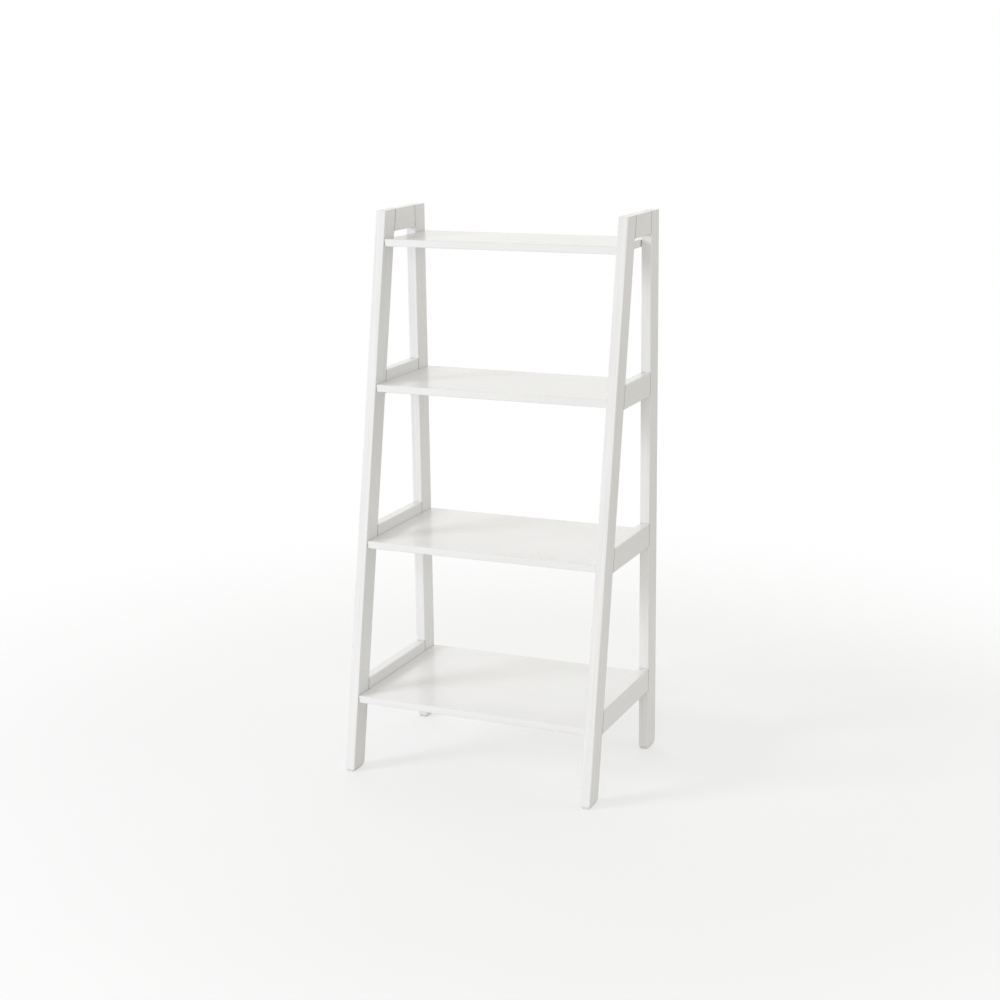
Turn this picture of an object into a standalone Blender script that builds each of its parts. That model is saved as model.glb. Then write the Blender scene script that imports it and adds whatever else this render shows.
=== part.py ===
"""A four-tier ladder shelf in white lacquered wood.

Two rigid side frames, each of a leaning front leg, an upright rear leg, a top rail and three
side rails with tenons, carry four boards. Every board end is drawn up to its frame by cam
bolts and cam locks, and the three lower boards are also located by dowels in the side rails.
X runs left to right, Y front to back, Z up. The origin is on the floor, under the middle.
"""

import math

import bmesh
import bpy
from mathutils import Matrix, Vector

# Overall size, in metres
WIDTH = 0.430
DEPTH = 0.310
HEIGHT = 0.900
TOP_DEPTH = 0.1435

# Side frames
FRAME_THICKNESS = 0.0165
LEG_DEPTH = 0.037
TOP_RAIL_HEIGHT = 0.036
SIDE_RAIL_HEIGHT = 0.038
SIDE_RAIL_ABOVE_BOARD = 0.018
TENON_THICKNESS = 0.007
TENON_LENGTH = 0.018
TENON_INSET = 0.006

# Boards: the height of each upper face above the floor
BOARD_TOPS = {"top": 0.855, "upper": 0.625, "middle": 0.3747, "bottom": 0.1245}
BOARD_THICKNESS = 0.012
BOARD_FRONT_SETBACK = 0.0012
BOARD_BACK_SETBACK = 0.0005
BOARD_END_GAP = 0.0005

# Cam fittings: distances run from the inner face of the frame
FITTING_AXIS_HEIGHT = BOARD_THICKNESS / 2
FITTING_INSET = 0.022
CAM_DISTANCE = 0.024
CAM_RADIUS = 0.006
CAM_HEIGHT = 0.0092
CAM_EDGE = 0.0004
CAM_RECESS = 0.0002
CAM_SLOT_HALF_WIDTH = 0.0032
CAM_CROSS_LENGTH = 0.008
CAM_CROSS_WIDTH = 0.0013
CAM_CROSS_DEPTH = 0.0016
BOLT_THREAD_RADIUS = 0.0025
BOLT_THREAD_LENGTH = 0.011
BOLT_TIP_RADIUS = 0.0015
BOLT_TIP_LENGTH = 0.0013
BOLT_COLLAR_RADIUS = 0.0031
BOLT_COLLAR_LENGTH = 0.001
BOLT_SHANK_RADIUS = 0.002
BOLT_NECK_RADIUS = 0.0014
BOLT_HEAD_RADIUS = 0.0027
BOLT_BORE_RADIUS = 0.0034
BOLT_FACETS = 10

# Dowels
DOWEL_RADIUS = 0.003
DOWEL_IN_RAIL = 0.011
DOWEL_IN_BOARD = 0.013
DOWEL_FLUTES = 8
DOWEL_FLUTE_DEPTH = 0.0002
DOWEL_CHAMFER = 0.001

# Nail-on glides under the feet
GLIDE_HEIGHT = 0.003
GLIDE_MARGIN = 0.001
GLIDE_CORNER = 0.004
GLIDE_EASED_EDGE = 0.0005
GLIDE_PIN_RADIUS = 0.0014
GLIDE_PIN_LENGTH = 0.012
GLIDE_PIN_POINT = 0.003
GLIDE_PIN_TIP_RADIUS = 0.0004

# Clearances, eased edges and facets. A hole is deeper than what goes in it by CUT_SPARE, and
# its cutter stands out of the face by as much.
GAP = 0.0003
CUT_SPARE = 0.001
EASED_EDGE = 0.0009
EASED_SEGMENTS = 1
FACETS = 16
PIN_FACETS = 10

# Worked out from the above
LEG_BOTTOM = GLIDE_HEIGHT + GAP
LEAN = (DEPTH - TOP_DEPTH) / (HEIGHT - LEG_BOTTOM)
BACK = DEPTH / 2
INNER_FACE = WIDTH / 2 - FRAME_THICKNESS
FRAME_MIDDLE = WIDTH / 2 - FRAME_THICKNESS / 2
SIDES = {"left": -1, "right": 1}
RAILED_BOARDS = ("upper", "middle", "bottom")

COLOURS = {
    "white_lacquer": ((0.86, 0.86, 0.84), 0.32, 0.0),
    "beech": ((0.66, 0.46, 0.28), 0.62, 0.0),
    "zinc": ((0.55, 0.56, 0.57), 0.38, 1.0),
    "white_plastic": ((0.82, 0.82, 0.80), 0.45, 0.0),
}


def front_of_leg(height):
    """Where the front leg's front face is, at a height above the floor."""
    return -DEPTH / 2 + LEAN * (height - LEG_BOTTOM)


def clear_scene():
    for old in list(bpy.data.objects):
        bpy.data.objects.remove(old, do_unlink=True)


def material(piece_name, colour_name):
    """One material for each piece, all of a kind in the same colour."""
    colour, roughness, metallic = COLOURS[colour_name]
    made = bpy.data.materials.new(f"{colour_name}_{piece_name}")
    made.use_nodes = True
    shader = made.node_tree.nodes["Principled BSDF"]
    shader.inputs["Base Color"].default_value = (*colour, 1.0)
    shader.inputs["Roughness"].default_value = roughness
    shader.inputs["Metallic"].default_value = metallic
    made.diffuse_color = (*colour, 1.0)
    return made


def new_object(name, mesh_maker, colour_name=None):
    """An object from a bmesh; without a colour it is a cutter or a tool."""
    mesh = bpy.data.meshes.new(name)
    mesh_maker.normal_update()
    mesh_maker.to_mesh(mesh)
    mesh_maker.free()
    made = bpy.data.objects.new(name, mesh)
    bpy.context.collection.objects.link(made)
    if colour_name:
        mesh.materials.append(material(name, colour_name))
    else:
        made.hide_render = True
        made.display_type = "WIRE"
    return made


def add_prism(bm, outline, start, end, along):
    """A closed prism: a flat outline, counted out in 3-D points, carried by a vector."""
    travel = Vector(along) * (end - start)
    first = [bm.verts.new(Vector(point) + Vector(along) * start) for point in outline]
    second = [bm.verts.new(corner.co + travel) for corner in first]
    faces = [bm.faces.new(first), bm.faces.new(second)]
    for index, corner in enumerate(first):
        after = (index + 1) % len(first)
        faces.append(bm.faces.new((corner, first[after], second[after], second[index])))
    bmesh.ops.recalc_face_normals(bm, faces=faces)


def add_side_shape(bm, outline, x_low, x_high):
    """A prism across the width: an outline of (y, z) points between two X."""
    add_prism(bm, [(0.0, y, z) for y, z in outline], x_low, x_high, (1.0, 0.0, 0.0))


def add_box(bm, low, high):
    outline = ((low[1], low[2]), (high[1], low[2]), (high[1], high[2]), (low[1], high[2]))
    add_side_shape(bm, outline, low[0], high[0])


def add_turned(bm, profile, place, facets=FACETS, flutes=0.0):
    """A solid of (distance, radius) pairs turned round the matrix's own Z axis.

    The ends are flat discs. With flutes, every other point of a ring is cut in by that much.
    """
    rings = []
    for distance, radius in profile:
        ring = []
        for step in range(facets):
            angle = math.tau * step / facets
            reach = radius - flutes * (step % 2)
            point = Vector((reach * math.cos(angle), reach * math.sin(angle), distance))
            ring.append(bm.verts.new(place @ point))
        rings.append(ring)
    faces = [bm.faces.new(rings[0]), bm.faces.new(rings[-1])]
    for lower, higher in zip(rings, rings[1:]):
        for step in range(facets):
            after = (step + 1) % facets
            faces.append(bm.faces.new((lower[step], lower[after], higher[after], higher[step])))
    bmesh.ops.recalc_face_normals(bm, faces=faces)


def inward(side, x, y, z):
    """A place whose own Z axis points from a frame towards the middle of the shelf."""
    turn = Matrix.Rotation(math.radians(90) * -SIDES[side], 4, "Y")
    return Matrix.Translation((SIDES[side] * x, y, z)) @ turn


def ease_edges(piece, width=EASED_EDGE):
    easing = piece.modifiers.new("eased_edges", "BEVEL")
    easing.width = width
    easing.segments = EASED_SEGMENTS
    easing.limit_method = "ANGLE"
    easing.angle_limit = math.radians(40)


def boolean(piece, tool, operation):
    step = piece.modifiers.new(tool.name, "BOOLEAN")
    step.operation = operation
    step.solver = "EXACT"
    step.object = tool


def smooth(piece, degrees=35):
    piece.data.shade_smooth()
    piece.data.set_sharp_from_angle(angle=math.radians(degrees))


def rails():
    """Name, lower edge and upper edge of each rail of a frame."""
    found = [("top_rail", HEIGHT - TOP_RAIL_HEIGHT, HEIGHT)]
    for board in RAILED_BOARDS:
        high = BOARD_TOPS[board] + SIDE_RAIL_ABOVE_BOARD
        found.append((f"side_rail_{board}", high - SIDE_RAIL_HEIGHT, high))
    return found


def fitting_height(board):
    return BOARD_TOPS[board] - BOARD_THICKNESS + FITTING_AXIS_HEIGHT


def fitting_places(board):
    """Y of the front and the rear cam fitting: in the side rail, or in the legs at the top."""
    inset = FITTING_INSET if board in RAILED_BOARDS else -LEG_DEPTH / 2
    leg_back = front_of_leg(fitting_height(board)) + LEG_DEPTH
    return {"front": leg_back + inset, "rear": BACK - LEG_DEPTH - inset}


def dowel_place(board):
    return sum(fitting_places(board).values()) / 2


def rail_outline(low, high, front_offset, back_offset):
    """A rail's (y, z) outline, whose front end follows the lean of the front leg."""
    front_low = front_of_leg(low) + LEG_DEPTH + front_offset
    front_high = front_of_leg(high) + LEG_DEPTH + front_offset
    back = BACK - LEG_DEPTH + back_offset
    return ((front_low, low), (back, low), (back, high), (front_high, high))


def add_bolt_hole(bm, side, y, z):
    depth = BOLT_THREAD_LENGTH + CUT_SPARE
    radius = BOLT_THREAD_RADIUS + GAP
    add_turned(bm, ((-depth, radius), (CUT_SPARE, radius)), inward(side, INNER_FACE, y, z))


def make_leg(end, side, front_at):
    """A leg with its mortises and the holes for the top board's bolt and the glide's pin."""
    name = f"{end}_leg_{side}"
    centre = SIDES[side] * FRAME_MIDDLE
    bm = bmesh.new()
    outline = (
        (front_at(LEG_BOTTOM), LEG_BOTTOM),
        (front_at(LEG_BOTTOM) + LEG_DEPTH, LEG_BOTTOM),
        (front_at(HEIGHT) + LEG_DEPTH, HEIGHT),
        (front_at(HEIGHT), HEIGHT),
    )
    add_side_shape(bm, outline, centre - FRAME_THICKNESS / 2, centre + FRAME_THICKNESS / 2)
    leg = new_object(name, bm, "white_lacquer")
    ease_edges(leg)

    bm = bmesh.new()
    reach = TENON_LENGTH + CUT_SPARE
    half = TENON_THICKNESS / 2 + GAP
    for _, low, high in rails():
        mortise = rail_outline(low + TENON_INSET - GAP, high - TENON_INSET + GAP, -reach, reach)
        add_side_shape(bm, mortise, centre - half, centre + half)
    add_bolt_hole(bm, side, fitting_places("top")[end], fitting_height("top"))
    pin_hole = GLIDE_PIN_RADIUS + GAP
    depth = GLIDE_PIN_LENGTH + CUT_SPARE
    foot = Matrix.Translation((centre, front_at(LEG_BOTTOM) + LEG_DEPTH / 2, LEG_BOTTOM))
    add_turned(bm, ((-CUT_SPARE, pin_hole), (depth, pin_hole)), foot, PIN_FACETS)
    boolean(leg, new_object(f"{name}_cuts", bm), "DIFFERENCE")


def make_rail(name, side, low, high, board):
    """A rail with a tenon at each end and, under a board, the holes for its fittings."""
    centre = SIDES[side] * FRAME_MIDDLE
    bm = bmesh.new()
    outline = rail_outline(low, high, GAP, -GAP)
    add_side_shape(bm, outline, centre - FRAME_THICKNESS / 2, centre + FRAME_THICKNESS / 2)
    rail = new_object(name, bm, "white_lacquer")
    ease_edges(rail)

    bm = bmesh.new()
    tenons = rail_outline(low + TENON_INSET, high - TENON_INSET, -TENON_LENGTH, TENON_LENGTH)
    add_side_shape(bm, tenons, centre - TENON_THICKNESS / 2, centre + TENON_THICKNESS / 2)
    boolean(rail, new_object(f"{name}_tenons", bm), "UNION")
    if not board:
        return
    bm = bmesh.new()
    z = fitting_height(board)
    for y in fitting_places(board).values():
        add_bolt_hole(bm, side, y, z)
    depth = DOWEL_IN_RAIL + CUT_SPARE
    radius = DOWEL_RADIUS + GAP
    place = inward(side, INNER_FACE, dowel_place(board), z)
    add_turned(bm, ((-depth, radius), (CUT_SPARE, radius)), place)
    boolean(rail, new_object(f"{name}_holes", bm), "DIFFERENCE")


def make_board(board):
    """A board with its cam pockets from below and the bolt and dowel holes in its ends."""
    top = BOARD_TOPS[board]
    under = top - BOARD_THICKNESS
    half_length = INNER_FACE - BOARD_END_GAP
    bm = bmesh.new()
    low = (-half_length, front_of_leg(top) + BOARD_FRONT_SETBACK, under)
    add_box(bm, low, (half_length, BACK - BOARD_BACK_SETBACK, top))
    piece = new_object(f"shelf_{board}", bm, "white_lacquer")
    ease_edges(piece)

    pockets = bmesh.new()
    bores = bmesh.new()
    z = fitting_height(board)
    for side, sign in SIDES.items():
        for y in fitting_places(board).values():
            place = Matrix.Translation((sign * (INNER_FACE - CAM_DISTANCE), y, under))
            pocket_top = CAM_RECESS + CAM_HEIGHT + GAP
            radius = CAM_RADIUS + GAP
            add_turned(pockets, ((-CUT_SPARE, radius), (pocket_top, radius)), place)
            bore = ((-CUT_SPARE, BOLT_BORE_RADIUS), (CAM_DISTANCE, BOLT_BORE_RADIUS))
            add_turned(bores, bore, inward(side, INNER_FACE, y, z))
        if board in RAILED_BOARDS:
            radius = DOWEL_RADIUS + GAP
            depth = DOWEL_IN_BOARD + CUT_SPARE
            place = inward(side, INNER_FACE, dowel_place(board), z)
            add_turned(bores, ((-CUT_SPARE, radius), (depth, radius)), place)
    boolean(piece, new_object(f"shelf_{board}_pockets", pockets), "DIFFERENCE")
    boolean(piece, new_object(f"shelf_{board}_bores", bores), "DIFFERENCE")


def bolt_profile():
    """A cam bolt from its pointed thread, past the collar and shank, to the round head."""
    head = []
    for degrees in (-55, -20, 20, 65):
        angle = math.radians(degrees)
        distance = CAM_DISTANCE + BOLT_HEAD_RADIUS * math.sin(angle)
        head.append((distance, BOLT_HEAD_RADIUS * math.cos(angle)))
    neck = head[0][0]
    collar_end = GAP + BOLT_COLLAR_LENGTH
    return [
        (-BOLT_THREAD_LENGTH, BOLT_TIP_RADIUS),
        (BOLT_TIP_LENGTH - BOLT_THREAD_LENGTH, BOLT_THREAD_RADIUS),
        (GAP, BOLT_THREAD_RADIUS),
        (GAP, BOLT_COLLAR_RADIUS),
        (collar_end, BOLT_COLLAR_RADIUS),
        (collar_end, BOLT_SHANK_RADIUS),
        (neck - 2 * BOLT_NECK_RADIUS, BOLT_SHANK_RADIUS),
        (neck - BOLT_NECK_RADIUS, BOLT_NECK_RADIUS),
        *head,
    ]


def make_cam_bolt(board, end, side):
    bm = bmesh.new()
    y = fitting_places(board)[end]
    add_turned(bm, bolt_profile(), inward(side, INNER_FACE, y, fitting_height(board)), BOLT_FACETS)
    smooth(new_object(f"cam_bolt_{board}_{end}_{side}", bm, "zinc"))


def make_cam_lock(board, end, side):
    """A round cam with a slot that takes the bolt's head and a cross for the screwdriver."""
    name = f"cam_lock_{board}_{end}_{side}"
    under = BOARD_TOPS[board] - BOARD_THICKNESS + CAM_RECESS
    x = SIDES[side] * (INNER_FACE - CAM_DISTANCE)
    y = fitting_places(board)[end]
    place = Matrix.Translation((x, y, under))
    bm = bmesh.new()
    profile = (
        (0.0, CAM_RADIUS - CAM_EDGE),
        (CAM_EDGE, CAM_RADIUS),
        (CAM_HEIGHT - CAM_EDGE, CAM_RADIUS),
        (CAM_HEIGHT, CAM_RADIUS - CAM_EDGE),
    )
    add_turned(bm, profile, place)
    cam = new_object(name, bm, "zinc")
    smooth(cam)

    bm = bmesh.new()
    slot = CAM_SLOT_HALF_WIDTH
    z = fitting_height(board)
    reach = sorted((x - SIDES[side] * slot, x + SIDES[side] * 2 * CAM_RADIUS))
    add_box(bm, (reach[0], y - slot, z - slot), (reach[1], y + slot, z + 2 * CAM_RADIUS))
    boolean(cam, new_object(f"{name}_slot", bm), "DIFFERENCE")
    half_long = CAM_CROSS_LENGTH / 2
    half_wide = CAM_CROSS_WIDTH / 2
    for suffix, half_x, half_y in (("a", half_long, half_wide), ("b", half_wide, half_long)):
        bm = bmesh.new()
        low = (x - half_x, y - half_y, under - CAM_CROSS_DEPTH)
        add_box(bm, low, (x + half_x, y + half_y, under + CAM_CROSS_DEPTH))
        boolean(cam, new_object(f"{name}_cross_{suffix}", bm), "DIFFERENCE")


def make_dowel(board, side):
    bm = bmesh.new()
    profile = (
        (-DOWEL_IN_RAIL, DOWEL_RADIUS - DOWEL_CHAMFER),
        (DOWEL_CHAMFER - DOWEL_IN_RAIL, DOWEL_RADIUS),
        (DOWEL_IN_BOARD - DOWEL_CHAMFER, DOWEL_RADIUS),
        (DOWEL_IN_BOARD, DOWEL_RADIUS - DOWEL_CHAMFER),
    )
    place = inward(side, INNER_FACE, dowel_place(board), fitting_height(board))
    add_turned(bm, profile, place, 2 * DOWEL_FLUTES, DOWEL_FLUTE_DEPTH)
    new_object(f"dowel_{board}_{side}", bm, "beech")


def rounded_outline(half_x, half_y, radius, steps=4):
    """The corners of a rounded rectangle about the origin, anticlockwise."""
    points = []
    for corner, (sign_x, sign_y) in enumerate(((1, 1), (-1, 1), (-1, -1), (1, -1))):
        for step in range(steps):
            angle = math.radians(90) * (corner + step / (steps - 1))
            x = sign_x * (half_x - radius) + radius * math.cos(angle)
            y = sign_y * (half_y - radius) + radius * math.sin(angle)
            points.append((x, y))
    return points


def make_glide(end, side, front_at):
    """A plastic pad under a foot, with a pin that is driven up into the leg."""
    name = f"glide_{end}_{side}"
    centre = (SIDES[side] * FRAME_MIDDLE, front_at(LEG_BOTTOM) + LEG_DEPTH / 2)
    half_x = FRAME_THICKNESS / 2 - GLIDE_MARGIN
    half_y = LEG_DEPTH / 2 - GLIDE_MARGIN
    bm = bmesh.new()
    corners = rounded_outline(half_x, half_y, GLIDE_CORNER)
    outline = [(centre[0] + x, centre[1] + y, 0.0) for x, y in corners]
    add_prism(bm, outline, 0.0, GLIDE_HEIGHT, (0.0, 0.0, 1.0))
    glide = new_object(name, bm, "white_plastic")
    ease_edges(glide, GLIDE_EASED_EDGE)

    bm = bmesh.new()
    place = Matrix.Translation((*centre, GLIDE_HEIGHT / 2))
    top = GLIDE_HEIGHT / 2 + GLIDE_PIN_LENGTH
    profile = (
        (0.0, GLIDE_PIN_RADIUS),
        (top - GLIDE_PIN_POINT, GLIDE_PIN_RADIUS),
        (top, GLIDE_PIN_TIP_RADIUS),
    )
    add_turned(bm, profile, place, PIN_FACETS)
    boolean(glide, new_object(f"{name}_pin", bm), "UNION")


def main():
    clear_scene()
    fronts = {"front": front_of_leg, "rear": lambda height: BACK - LEG_DEPTH}
    for side in SIDES:
        for end, front_at in fronts.items():
            make_leg(end, side, front_at)
            make_glide(end, side, front_at)
        for name, low, high in rails():
            board = name.removeprefix("side_rail_")
            board = board if board in RAILED_BOARDS else None
            make_rail(f"{name}_{side}", side, low, high, board)
    for board in BOARD_TOPS:
        make_board(board)
        for side in SIDES:
            for end in fronts:
                make_cam_bolt(board, end, side)
                make_cam_lock(board, end, side)
            if board in RAILED_BOARDS:
                make_dowel(board, side)


main()
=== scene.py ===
"""A white four-tier ladder shelf: its finished surfaces, built round the fixed frame.

Every piece is a surface computed on a grid of two parameters, or a profile carried along a
path, and replaces the plain solid of the same name. Lengths are in metres, X runs left to
right, Y front to back and Z up.
"""

import math

import bmesh
import bpy
import numpy as np
from bpy.props import FloatProperty, FloatVectorProperty, IntProperty, PointerProperty
from mathutils import Matrix, Vector, geometry


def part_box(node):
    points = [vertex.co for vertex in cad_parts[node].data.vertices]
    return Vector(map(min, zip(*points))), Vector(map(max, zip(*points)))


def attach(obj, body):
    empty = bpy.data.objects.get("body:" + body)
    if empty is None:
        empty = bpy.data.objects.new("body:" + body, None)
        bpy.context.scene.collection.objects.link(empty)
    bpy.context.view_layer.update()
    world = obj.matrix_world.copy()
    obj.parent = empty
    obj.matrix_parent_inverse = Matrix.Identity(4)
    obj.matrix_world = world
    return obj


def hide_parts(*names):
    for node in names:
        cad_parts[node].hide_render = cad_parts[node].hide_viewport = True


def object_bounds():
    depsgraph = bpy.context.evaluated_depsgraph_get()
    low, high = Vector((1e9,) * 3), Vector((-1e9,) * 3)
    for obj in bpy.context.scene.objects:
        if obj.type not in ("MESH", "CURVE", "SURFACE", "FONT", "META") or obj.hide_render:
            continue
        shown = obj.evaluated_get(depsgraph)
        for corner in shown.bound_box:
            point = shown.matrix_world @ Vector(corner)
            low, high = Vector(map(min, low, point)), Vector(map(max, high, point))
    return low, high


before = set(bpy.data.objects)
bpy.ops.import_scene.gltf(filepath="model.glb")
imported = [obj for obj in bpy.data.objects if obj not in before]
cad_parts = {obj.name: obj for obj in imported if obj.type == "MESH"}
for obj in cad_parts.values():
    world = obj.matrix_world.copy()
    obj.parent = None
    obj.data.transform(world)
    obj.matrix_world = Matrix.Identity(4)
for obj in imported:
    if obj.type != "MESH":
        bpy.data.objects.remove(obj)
CAD_LOW, CAD_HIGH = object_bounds()

bl_info = {
    "name": "White Ladder Shelf",
    "version": (1, 0, 0),
    "blender": (4, 5, 0),
    "location": "3D View > Sidebar > Ladder Shelf",
    "description": "Builds the lacquered boards, frames and fittings of a ladder shelf",
    "category": "Object",
}

SIDES = {"left": -1, "right": 1}
ENDS = ("front", "rear")
BOARDS = ("top", "upper", "middle", "bottom")
RAILED_BOARDS = BOARDS[1:]
BODY = "root"
# Point layer for unlacquered wood in holes and joints; at the rail seams it carries painted shade
BARE_AND_SEAM_SHADE = "bare_and_seam_shade"
FLOOR_RADII = (0.3, 0.6, 0.9, 1.2, 1.65)
FLOOR_REACH = 1.6
FLOOR_GAP = 0.0002
TOUCH = 1e-6
CIRCLE_SIDES = 32


def length(name, description, default):
    """A property that holds a length in metres."""
    return FloatProperty(
        name=name, description=description, default=default, unit="LENGTH", precision=5
    )


def colour(name, description, default):
    """A property that holds a linear colour."""
    return FloatVectorProperty(
        name=name, description=description, default=default, subtype="COLOR", min=0, max=1
    )


def power(name, description, default):
    """A property that holds a light's power in watts."""
    return FloatProperty(name=name, description=description, default=default, unit="POWER")


def amount(name, description, default):
    """A property that holds a plain number."""
    return FloatProperty(name=name, description=description, default=default, precision=4)


def whole_number(name, description, default):
    """A property that holds a number of facets or grooves."""
    return IntProperty(name=name, description=description, default=default, min=2, max=40)


def direction(name, description, degrees):
    """A property that holds an angle, with its default given in degrees."""
    default = math.radians(degrees)
    return FloatProperty(name=name, description=description, default=default, subtype="ANGLE")


class LadderShelfSizes(bpy.types.PropertyGroup):
    """Sizes that the frame's boxes don't give."""

    top_depth: length("Depth at the top", "Front to back over both legs at the top", 0.1435)
    edge_radius: length("Edge radius", "Rounding of the long edges of legs and rails", 0.0013)
    end_radius: length("End radius", "Rounding of the ends of legs and boards", 0.0009)
    seam_radius: length("Seam radius", "Rounding of a rail's ends at its seams", 0.0008)
    margin: length("Margin", "Flat strip beside each rounding, which evens the shading", 0.0002)
    arc_steps: whole_number("Arc steps", "Facets in a quarter round", 5)
    seam_gap: length("Seam gap", "Dark line between a rail's shoulder and its leg", 0.00045)
    clearance: length("Clearance", "Gap between a piece and the hole that holds it", 0.0003)
    hole_chamfer: length("Hole chamfer", "Broken edge at the mouth of a drilled hole", 0.0003)
    spare_depth: length("Spare depth", "How much deeper a hole is than what it holds", 0.001)
    tenon_thickness: length("Tenon thickness", "Side to side, in the middle of a rail", 0.007)
    tenon_length: length("Tenon length", "How far a tenon reaches into its leg", 0.018)
    tenon_inset: length("Tenon inset", "Shoulder above and below a tenon", 0.006)
    tenon_corner: length("Tenon corner", "Corner radius of tenons and mortises", 0.0026)
    tenon_chamfer: length("Tenon chamfer", "Broken edge round a tenon's end", 0.0005)
    bore_radius: length("Bore radius", "Hole in a board's end for a cam bolt", 0.0034)
    slot_half_width: length("Cam slot half width", "Half of the opening in a cam", 0.0032)
    recess_length: length("Recess length", "Length of a screwdriver cross in a cam", 0.0078)
    recess_width: length("Recess width", "Width of each arm of that cross", 0.0015)
    recess_depth: length("Recess depth", "Depth of that cross", 0.0015)
    thread_radius: length("Thread radius", "Over the crests of a cam bolt's thread", 0.0025)
    core_radius: length("Core radius", "Under the thread of a cam bolt", 0.0017)
    thread_pitch: length("Thread pitch", "Advance of the thread in one turn", 0.0018)
    thread_length: length("Thread length", "Threaded length of a cam bolt", 0.011)
    collar_length: length("Collar length", "Thickness of a cam bolt's collar", 0.001)
    shank_radius: length("Shank radius", "Plain part of a cam bolt", 0.002)
    neck_radius: length("Neck radius", "Waist behind a cam bolt's head", 0.0014)
    head_radius: length("Head radius", "Round head of a cam bolt", 0.0027)
    flutes: whole_number("Flutes", "Grooves along a dowel", 16)
    flute_depth: length("Flute depth", "Depth of those grooves", 0.0002)
    dowel_chamfer: length("Dowel chamfer", "Broken edge at the ends of a dowel", 0.001)
    glide_height: length("Glide height", "Thickness of the pad under a foot", 0.003)
    glide_corner: length("Glide corner", "Corner radius of the pad", 0.004)
    glide_edge: length("Glide edge", "Rounding of the pad's rim", 0.0009)
    pin_radius: length("Pin radius", "Radius of the pin above the pad", 0.0014)
    pin_point: length("Pin point", "Length of the pin's tapered tip", 0.003)
    pin_tip_radius: length("Pin tip radius", "Radius at the end of that tip", 0.00042)


class LadderShelfColours(bpy.types.PropertyGroup):
    """Linear colours of the finishes."""

    lacquer: colour("Lacquer", "White lacquer", (0.89, 0.89, 0.885))
    lacquer_shade: colour("Lacquer shade", "The lacquer where it is thin", (0.80, 0.80, 0.79))
    # This colour is also the painted shade in the seams, on rail ends and the leg roundings beside
    # them
    bare_wood_and_seam_shade: colour("Bare wood", "Wood in joints and drilled holes", (0.56, 0.54, 0.51))
    bare_grain: colour("Bare grain", "Grain lines in that wood", (0.48, 0.455, 0.42))
    beech: colour("Beech", "Bare dowel wood", (0.62, 0.42, 0.25))
    beech_pore: colour("Beech pore", "Grain lines in the dowel wood", (0.44, 0.27, 0.15))
    zinc: colour("Zinc", "Die-cast cam", (0.42, 0.425, 0.43))
    steel: colour("Steel", "Plated bolt", (0.60, 0.62, 0.64))
    plastic: colour("Plastic", "Moulded glide", (0.76, 0.76, 0.74))
    floor: colour("Floor", "Studio floor", (0.95, 0.95, 0.95))


class LadderShelfStudio(bpy.types.PropertyGroup):
    """Camera and light."""

    azimuth: direction("Azimuth", "Camera's turn about the shelf", 23.869)
    elevation: direction("Elevation", "Camera's tilt down", 13.921)
    roll: direction("Roll", "Camera's turn about its own axis", -0.745)
    distance: length("Distance", "From the camera to the shelf's middle", 2.9915)
    aside: length("Aside", "Camera's step to its own right", 0.00096)
    above: length("Above", "Camera's step up", -0.00818)
    lens: FloatProperty(name="Lens", description="Focal length", default=66.69, unit="CAMERA")
    key_power: power("Key", "Soft light from the left", 66.5)
    fill_power: power("Fill", "Wide soft light from the front", 29.7)
    side_power: power("Side", "Soft light from the right", 15.7)
    back_power: power("Back", "White wall lit behind the shelf", 22.2)
    key_tint: colour("Key tint", "Colour of the key light", (0.89, 0.9, 1.0))
    wall_tint: colour("Wall tint", "Colour of the light from the walls", (1.0, 0.985, 0.93))
    surround: amount("Surround", "Brightness of the light from those walls", 0.52)
    floor_cover: amount("Floor cover", "How much of the white beyond the floor it hides", 0.5)


def sizes():
    return bpy.context.scene.ladder_shelf_sizes


def colours():
    return bpy.context.scene.ladder_shelf_colours


def studio():
    return bpy.context.scene.ladder_shelf_studio


# Surfaces


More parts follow.
